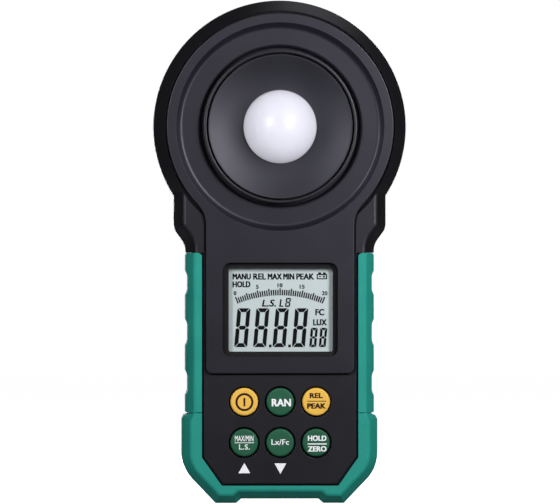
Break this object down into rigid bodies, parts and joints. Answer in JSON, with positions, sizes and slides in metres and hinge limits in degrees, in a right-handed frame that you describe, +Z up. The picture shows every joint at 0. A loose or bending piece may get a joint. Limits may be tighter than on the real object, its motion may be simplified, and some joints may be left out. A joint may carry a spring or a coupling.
{
  "type": "handheld light meter",
  "caption": "Handheld light meter with a domed sensor head, a display window over push keys, and a rubber-jacketed grip.",
  "frame": {"origin": "middle of the footprint, on the surface that the rubber feet stand on", "axes": "+Z up along the length, from the feet to the sensor head; the face looks along -Y; +X is the right-hand side of the face"},
  "size_m": [0.1036, 0.046, 0.2059],
  "materials": {
    "housing_black": "fine moulded texture, satin",
    "plate_charcoal": "fine moulded texture, matt",
    "jacket_green": "soft moulded rubber, matt",
    "window_clear": "clear polished window with a black border",
    "lcd_glass": "grey-green liquid crystal panel, satin",
    "dish_grey": "satin grey moulding",
    "dome_white": "white diffuser, satin",
    "key_gold": "silicone key, matt",
    "key_green": "silicone key, matt",
    "silicone_grey": "silicone, matt",
    "white_plastic": "moulded, satin",
    "board_green": "solder resist",
    "steel": "zinc plated",
    "chip_black": "moulded epoxy",
    "filter_glass": "tinted optical filter",
    "flex_orange": "polyimide film",
    "battery_case": "lacquered can, plain",
    "wire_red": "insulated wire",
    "wire_black": "insulated wire",
    "foam_grey": "soft foam"
  },
  "bodies": {
    "case": {"front_housing": "housing_black", "rear_housing": "housing_black", "face_plate": "plate_charcoal", "front_grip_jacket": "jacket_green", "rear_grip_jacket": "jacket_green", "display_window": "window_clear", "lcd_panel": "lcd_glass", "lcd_frame": "white_plastic", "lcd_backlight": "white_plastic", "upper_contact_strip": "silicone_grey", "lower_contact_strip": "silicone_grey", "main_board": "board_green", "meter_chip": "chip_black", "crystal": "steel", "buzzer": "chip_black", "ribbon_connector": "white_plastic", "sensor_ribbon": "flex_orange", "keypad_mat": "silicone_grey", "diffuser_dome": "dome_white", "sensor_dish": "dish_grey", "retaining_ring": "plate_charcoal", "filter_holder": "housing_black", "colour_filter": "filter_glass", "photodiode": "chip_black", "sensor_board": "board_green", "battery": "battery_case", "battery_snap": "chip_black", "red_lead": "wire_red", "black_lead": "wire_black", "stand_pin": "steel", "case_screw_1": "steel", "case_screw_2": "steel", "case_screw_3": "steel", "case_screw_4": "steel", "case_screw_5": "steel", "case_screw_6": "steel", "sensor_board_screw_1": "steel", "sensor_board_screw_2": "steel", "sensor_board_screw_3": "steel"},
    "power_key": {"power_button": "key_gold"},
    "range_key": {"range_button": "key_green"},
    "rel_peak_key": {"rel_peak_button": "key_gold"},
    "max_min_key": {"max_min_button": "key_green"},
    "unit_key": {"unit_button": "key_green"},
    "hold_zero_key": {"hold_zero_button": "key_green"},
    "door": {"battery_door": "housing_black", "door_screw": "steel", "battery_foam_pad": "foam_grey"},
    "stand": {"tilt_stand": "housing_black"}
  },
  "joints": [
    {"name": "power_key_press", "type": "slide", "parent": "case", "child": "power_key", "axis": [0, 1, 0], "range_m": [0, 0.0012], "stiffness_N_per_m": 900},
    {"name": "range_key_press", "type": "slide", "parent": "case", "child": "range_key", "axis": [0, 1, 0], "range_m": [0, 0.0012], "stiffness_N_per_m": 900},
    {"name": "rel_peak_key_press", "type": "slide", "parent": "case", "child": "rel_peak_key", "axis": [0, 1, 0], "range_m": [0, 0.0012], "stiffness_N_per_m": 900},
    {"name": "max_min_key_press", "type": "slide", "parent": "case", "child": "max_min_key", "axis": [0, 1, 0], "range_m": [0, 0.0012], "stiffness_N_per_m": 900},
    {"name": "unit_key_press", "type": "slide", "parent": "case", "child": "unit_key", "axis": [0, 1, 0], "range_m": [0, 0.0012], "stiffness_N_per_m": 900},
    {"name": "hold_zero_key_press", "type": "slide", "parent": "case", "child": "hold_zero_key", "axis": [0, 1, 0], "range_m": [0, 0.0012], "stiffness_N_per_m": 900},
    {"name": "stand_hinge", "type": "hinge", "parent": "case", "child": "stand", "pos_m": [0, 0.021, 0.1145], "axis": [1, 0, 0], "range_deg": [0, 60]},
    {"name": "door_release", "type": "slide", "parent": "case", "child": "door", "axis": [0, 1, 0], "range_m": [0, 0.03]}
  ]
}
